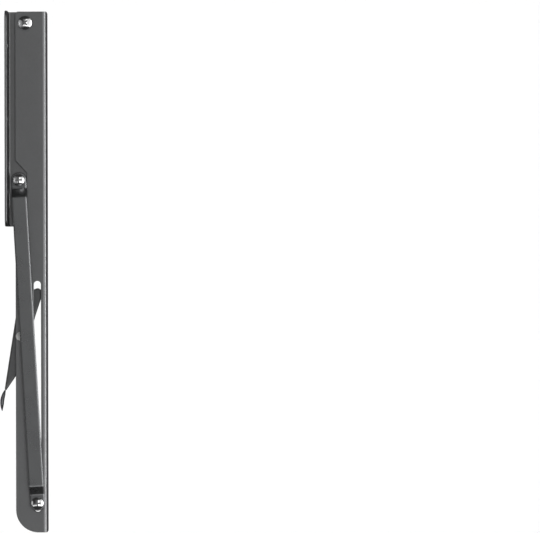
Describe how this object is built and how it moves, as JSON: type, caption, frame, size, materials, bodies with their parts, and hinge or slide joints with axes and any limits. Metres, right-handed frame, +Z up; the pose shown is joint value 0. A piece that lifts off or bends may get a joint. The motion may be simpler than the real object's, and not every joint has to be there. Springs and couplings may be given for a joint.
{
  "type": "folding shelf bracket",
  "caption": "Wall-mounted folding shelf bracket with an angle-section arm, a slotted brace that slides as it folds flat, and a sprung release lever.",
  "frame": {"origin": "centre of the middle wall screw hole, on the face that lies against the wall", "axes": "+Z up along the wall and the folded arm, +X out of the wall towards the shelf, +Y along the wall, to the side that the arm's flange turns; the strut is on the -Y side"},
  "size_m": [0.0453, 0.0475, 0.5],
  "materials": {
    "plate_paint": "satin dark grey powder coat with a slight metallic sheen",
    "arm_paint": "satin dark grey powder coat with a slight metallic sheen",
    "strut_paint": "satin dark grey powder coat with a slight metallic sheen",
    "lever_paint": "satin dark grey powder coat, a little darker",
    "screw_chrome": "bright polished zinc or chrome plating",
    "washer_steel": "plain zinc plating",
    "nut_steel": "plain zinc plating",
    "spring_steel": "oiled spring wire"
  },
  "bodies": {
    "wall_leg": {"wall_plate": "plate_paint", "arm_pivot_screw": "screw_chrome", "arm_pivot_nut": "nut_steel", "arm_pivot_washer": "washer_steel", "strut_pivot_screw": "screw_chrome", "strut_pivot_nut": "nut_steel", "strut_pivot_washer": "washer_steel"},
    "arm": {"arm": "arm_paint", "lever_rivet": "screw_chrome", "lever_bush": "nut_steel", "lever_spring": "spring_steel"},
    "strut": {"strut": "strut_paint", "slot_screw": "screw_chrome"},
    "slider": {"slot_sleeve": "nut_steel", "slot_stud": "nut_steel", "slot_washer": "washer_steel", "slot_nut": "nut_steel"},
    "lever": {"release_lever": "lever_paint"}
  },
  "joints": [
    {"name": "arm_fold", "type": "hinge", "parent": "wall_leg", "child": "arm", "pos_m": [0.0179, 0.0115, 0.0926], "axis": [0, -1, 0], "range_deg": [0, 90]},
    {"name": "strut_swing", "type": "hinge", "parent": "wall_leg", "child": "strut", "pos_m": [0.0115, 0.0112, -0.0584], "axis": [0, -1, 0], "range_deg": [0, 118.27]},
    {"name": "slider_slide", "type": "slide", "parent": "arm", "child": "slider", "axis": [0, 0, 1], "range_m": [0, 0.2028]},
    {"name": "lever_catch", "type": "hinge", "parent": "arm", "child": "lever", "pos_m": [0.0129, 0.0175, -0.2082], "axis": [0, 1, 0], "range_deg": [0, 3.5], "stiffness_Nm_per_rad": 0.35, "springref_deg": 8.59}
  ],
  "couplings": [
    {"joint": "strut_swing", "follows": "arm_fold", "ratio": 1.3139},
    {"joint": "slider_slide", "follows": "arm_fold", "m_per_rad": 0.12901}
  ]
}
